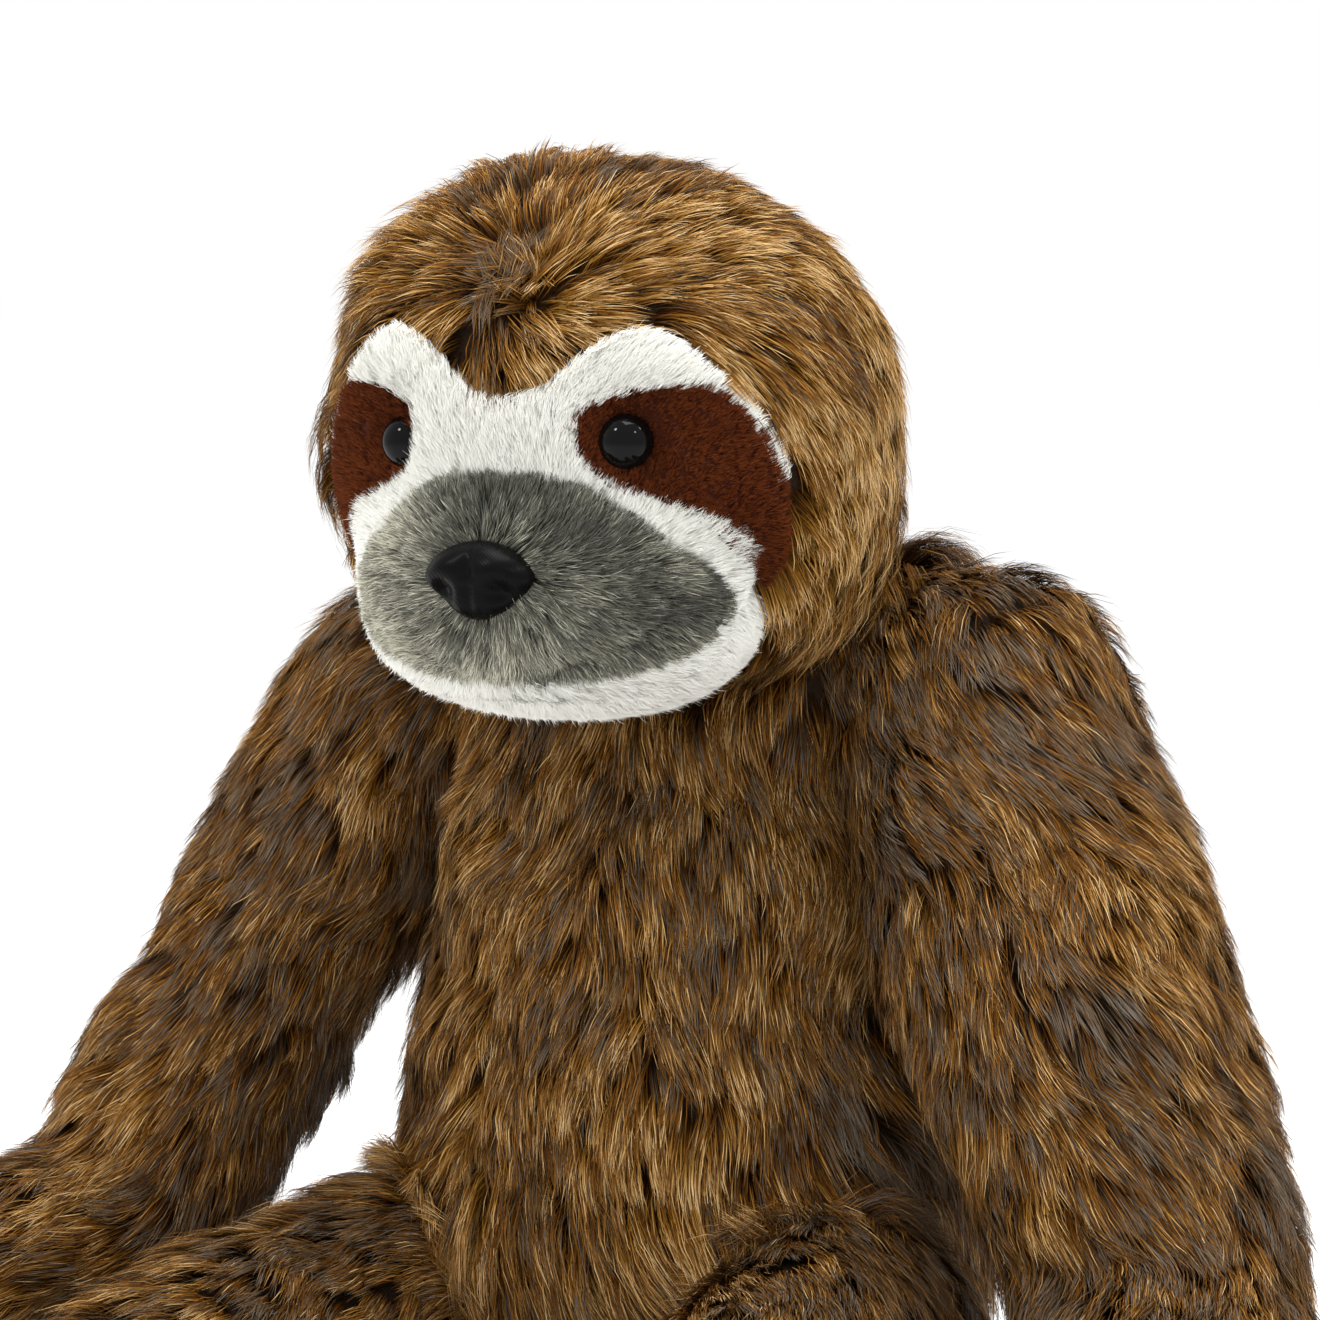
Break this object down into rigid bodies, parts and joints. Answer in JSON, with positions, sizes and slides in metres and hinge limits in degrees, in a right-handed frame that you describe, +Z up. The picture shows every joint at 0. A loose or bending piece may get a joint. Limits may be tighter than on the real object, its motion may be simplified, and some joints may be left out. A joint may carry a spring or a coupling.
{
  "type": "plush sloth",
  "caption": "Seated plush sloth in long brown fur, with a white face, dark eye patches, grey muzzle, hanging arms and clawed paws, posable at neck, shoulders, elbows and hips.",
  "frame": {"origin": "on the floor, in the flat of the seat, midway between the legs", "axes": "+Z up, -Y the way the face looks, +X the sloth's own left"},
  "size_m": [0.724, 0.4624, 0.532],
  "materials": {
    "brown_fur": "long two-tone pile, golden tips over dark roots",
    "filling": "loose polyester fibre",
    "pellet_cotton": "plain woven cotton",
    "sewing_thread": "twisted thread",
    "white_pile": "short plush",
    "patch_velour": "short velour",
    "grey_pile": "medium pile with lighter tips",
    "nose_satin": "padded satin weave",
    "eye_gloss": "polished",
    "washer_plastic": "moulded",
    "claw_felt": "short felted pile"
  },
  "bodies": {
    "torso": {"torso_skin": "brown_fur", "torso_stuffing": "filling", "seat_pellet_pouch": "pellet_cotton", "back_closing_seam": "sewing_thread"},
    "neck": {"neck_stuffing": "filling"},
    "head": {"head_skin": "brown_fur", "head_stuffing": "filling", "face_mask": "white_pile", "muzzle": "grey_pile", "chin": "white_pile", "nose": "nose_satin", "left_eye_patch": "patch_velour", "left_eye": "eye_gloss", "left_eye_washer": "washer_plastic", "right_eye_patch": "patch_velour", "right_eye": "eye_gloss", "right_eye_washer": "washer_plastic"},
    "left_shoulder": {"left_shoulder_stuffing": "filling"},
    "left_upper_arm": {"left_upper_arm_skin": "brown_fur", "left_upper_arm_stuffing": "filling"},
    "left_forearm": {"left_forearm_skin": "brown_fur", "left_forearm_stuffing": "filling", "left_hand_claw_1": "claw_felt", "left_hand_claw_2": "claw_felt", "left_hand_claw_3": "claw_felt"},
    "left_hip": {"left_hip_stuffing": "filling"},
    "left_leg": {"left_leg_skin": "brown_fur", "left_leg_stuffing": "filling", "left_foot_claw_1": "claw_felt", "left_foot_claw_2": "claw_felt", "left_foot_claw_3": "claw_felt"},
    "right_shoulder": {"right_shoulder_stuffing": "filling"},
    "right_upper_arm": {"right_upper_arm_skin": "brown_fur", "right_upper_arm_stuffing": "filling"},
    "right_forearm": {"right_forearm_skin": "brown_fur", "right_forearm_stuffing": "filling", "right_hand_claw_1": "claw_felt", "right_hand_claw_2": "claw_felt", "right_hand_claw_3": "claw_felt"},
    "right_hip": {"right_hip_stuffing": "filling"},
    "right_leg": {"right_leg_skin": "brown_fur", "right_leg_stuffing": "filling", "right_foot_claw_1": "claw_felt", "right_foot_claw_2": "claw_felt", "right_foot_claw_3": "claw_felt"}
  },
  "joints": [
    {"name": "neck_turn", "type": "hinge", "parent": "torso", "child": "neck", "pos_m": [0, -0.03, 0.385], "axis": [0, 0, 1], "range_deg": [-40, 40]},
    {"name": "head_nod", "type": "hinge", "parent": "neck", "child": "head", "pos_m": [0, -0.03, 0.385], "axis": [-1, 0, 0], "range_deg": [-10, 20]},
    {"name": "left_shoulder_swing", "type": "hinge", "parent": "torso", "child": "left_shoulder", "pos_m": [0.14, -0.002, 0.304], "axis": [-1, 0, 0], "range_deg": [-30, 70]},
    {"name": "left_shoulder_spread", "type": "hinge", "parent": "left_shoulder", "child": "left_upper_arm", "pos_m": [0.14, -0.002, 0.304], "axis": [0, -1, 0], "range_deg": [-4, 60]},
    {"name": "left_elbow", "type": "hinge", "parent": "left_upper_arm", "child": "left_forearm", "pos_m": [0.232, -0.076, 0.085], "axis": [-0.897, -0.3612, -0.2548], "range_deg": [-45, 30]},
    {"name": "left_hip_swing", "type": "hinge", "parent": "torso", "child": "left_hip", "pos_m": [0.098, -0.068, 0.066], "axis": [-1, 0, 0], "range_deg": [-40, 30]},
    {"name": "left_hip_spread", "type": "hinge", "parent": "left_hip", "child": "left_leg", "pos_m": [0.098, -0.068, 0.066], "axis": [0, 0, 1], "range_deg": [-5, 20]},
    {"name": "right_shoulder_swing", "type": "hinge", "parent": "torso", "child": "right_shoulder", "pos_m": [-0.14, -0.002, 0.304], "axis": [-1, 0, 0], "range_deg": [-30, 70]},
    {"name": "right_shoulder_spread", "type": "hinge", "parent": "right_shoulder", "child": "right_upper_arm", "pos_m": [-0.14, -0.002, 0.304], "axis": [0, 1, 0], "range_deg": [-4, 60]},
    {"name": "right_elbow", "type": "hinge", "parent": "right_upper_arm", "child": "right_forearm", "pos_m": [-0.232, -0.076, 0.085], "axis": [-0.897, 0.3612, 0.2548], "range_deg": [-45, 30]},
    {"name": "right_hip_swing", "type": "hinge", "parent": "torso", "child": "right_hip", "pos_m": [-0.098, -0.068, 0.066], "axis": [-1, 0, 0], "range_deg": [-40, 30]},
    {"name": "right_hip_spread", "type": "hinge", "parent": "right_hip", "child": "right_leg", "pos_m": [-0.098, -0.068, 0.066], "axis": [0, 0, -1], "range_deg": [-5, 20]}
  ]
}
